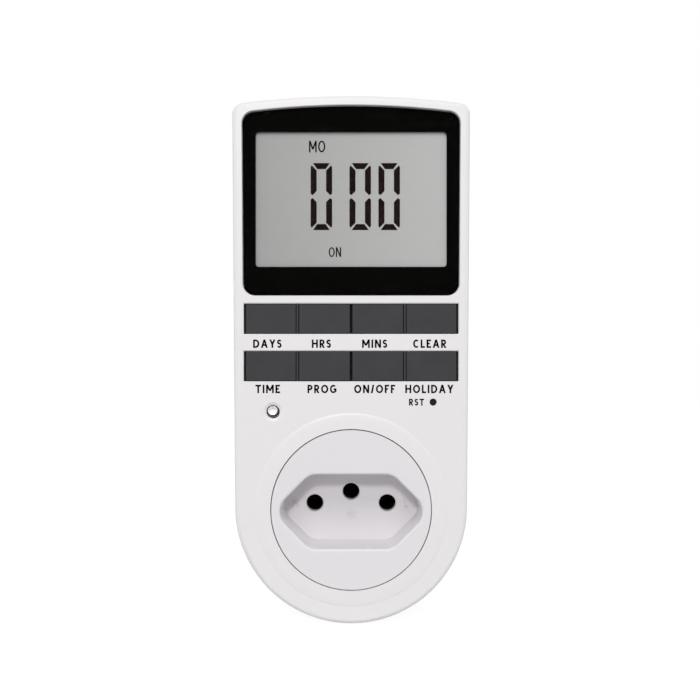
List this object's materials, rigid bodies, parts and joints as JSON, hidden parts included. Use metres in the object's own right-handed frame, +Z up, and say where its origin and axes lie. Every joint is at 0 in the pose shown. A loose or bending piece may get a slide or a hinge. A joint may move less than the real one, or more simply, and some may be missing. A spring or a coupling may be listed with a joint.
{
  "type": "digital cyclic timer",
  "caption": "Plug-in digital timer with a display, push keys, a status lamp and a pass-through round pin mains socket.",
  "frame": {"origin": "middle of the plug boss's flat face, on the line between the live and neutral pins", "axes": "+X to the right seen from the front, +Y out of the back along the pins, +Z up"},
  "size_m": [0.0598, 0.0689, 0.1326],
  "materials": {
    "case_white": "fine satin moulding",
    "socket_white": "satin moulding",
    "inner_white": "plain moulding",
    "window_clear": "polished clear plastic",
    "mask_black": "printed black",
    "lcd_grey": "grey reflective display",
    "key_grey": "fine matt moulding",
    "led_clear": "clear epoxy",
    "switch_black": "moulded",
    "strip_rubber": "matt",
    "screw_steel": "zinc plated",
    "tinned_steel": "tinned",
    "pin_nickel": "nickel plated brass",
    "contact_brass": "plain",
    "lead_blue": "insulated",
    "link_grey": "insulated",
    "board_green": "solder mask",
    "chip_black": "moulded",
    "relay_blue": "moulded",
    "capacitor_yellow": "moulded",
    "sleeve_black": "sleeved",
    "varistor_blue": "dipped",
    "resistor_tan": "lacquered"
  },
  "bodies": {
    "timer": {"front_cover": "case_white", "rear_cover": "case_white", "case_screws": "screw_steel", "display_window": "window_clear", "window_mask": "mask_black", "lcd_glass": "lcd_grey", "lcd_holder": "inner_white", "zebra_strip": "strip_rubber", "key_switches": "switch_black", "key_dividers": "key_grey", "reset_switch": "switch_black", "status_led": "led_clear", "led_leads": "tinned_steel", "socket_face": "socket_white", "contact_carrier": "inner_white", "carrier_screws": "screw_steel", "live_contact": "contact_brass", "neutral_contact": "contact_brass", "earth_contact": "contact_brass", "live_pin": "pin_nickel", "neutral_pin": "pin_nickel", "earth_pin": "pin_nickel", "pin_retainer": "inner_white", "neutral_strap": "contact_brass", "earth_strap": "contact_brass", "mains_leads": "lead_blue", "control_board": "board_green", "control_board_screws": "screw_steel", "controller_chip": "chip_black", "clock_crystal": "tinned_steel", "backup_cell": "tinned_steel", "cell_tabs": "tinned_steel", "board_link_wires": "link_grey", "power_board": "board_green", "power_board_screws": "screw_steel", "relay": "relay_blue", "dropper_capacitor": "capacitor_yellow", "smoothing_capacitor": "sleeve_black", "varistor": "varistor_blue", "input_fuse": "chip_black", "rectifier_diodes": "chip_black", "board_resistors": "resistor_tan"},
    "day": {"day_key": "key_grey", "day_plunger": "switch_black"},
    "hour": {"hour_key": "key_grey", "hour_plunger": "switch_black"},
    "minute": {"minute_key": "key_grey", "minute_plunger": "switch_black"},
    "clear": {"clear_key": "key_grey", "clear_plunger": "switch_black"},
    "clock": {"clock_key": "key_grey", "clock_plunger": "switch_black"},
    "set": {"set_key": "key_grey", "set_plunger": "switch_black"},
    "output": {"output_key": "key_grey", "output_plunger": "switch_black"},
    "random": {"random_key": "key_grey", "random_plunger": "switch_black"},
    "reset": {"reset_button": "switch_black"}
  },
  "joints": [
    {"name": "day_press", "type": "slide", "parent": "timer", "child": "day", "axis": [0, 1, 0], "range_m": [0, 0.0005], "stiffness_N_per_m": 800, "springref_m": -0.0003},
    {"name": "hour_press", "type": "slide", "parent": "timer", "child": "hour", "axis": [0, 1, 0], "range_m": [0, 0.0005], "stiffness_N_per_m": 800, "springref_m": -0.0003},
    {"name": "minute_press", "type": "slide", "parent": "timer", "child": "minute", "axis": [0, 1, 0], "range_m": [0, 0.0005], "stiffness_N_per_m": 800, "springref_m": -0.0003},
    {"name": "clear_press", "type": "slide", "parent": "timer", "child": "clear", "axis": [0, 1, 0], "range_m": [0, 0.0005], "stiffness_N_per_m": 800, "springref_m": -0.0003},
    {"name": "clock_press", "type": "slide", "parent": "timer", "child": "clock", "axis": [0, 1, 0], "range_m": [0, 0.0005], "stiffness_N_per_m": 800, "springref_m": -0.0003},
    {"name": "set_press", "type": "slide", "parent": "timer", "child": "set", "axis": [0, 1, 0], "range_m": [0, 0.0005], "stiffness_N_per_m": 800, "springref_m": -0.0003},
    {"name": "output_press", "type": "slide", "parent": "timer", "child": "output", "axis": [0, 1, 0], "range_m": [0, 0.0005], "stiffness_N_per_m": 800, "springref_m": -0.0003},
    {"name": "random_press", "type": "slide", "parent": "timer", "child": "random", "axis": [0, 1, 0], "range_m": [0, 0.0005], "stiffness_N_per_m": 800, "springref_m": -0.0003},
    {"name": "reset_press", "type": "slide", "parent": "timer", "child": "reset", "axis": [0, 1, 0], "range_m": [0, 0.0005], "stiffness_N_per_m": 800, "springref_m": -0.0003}
  ]
}
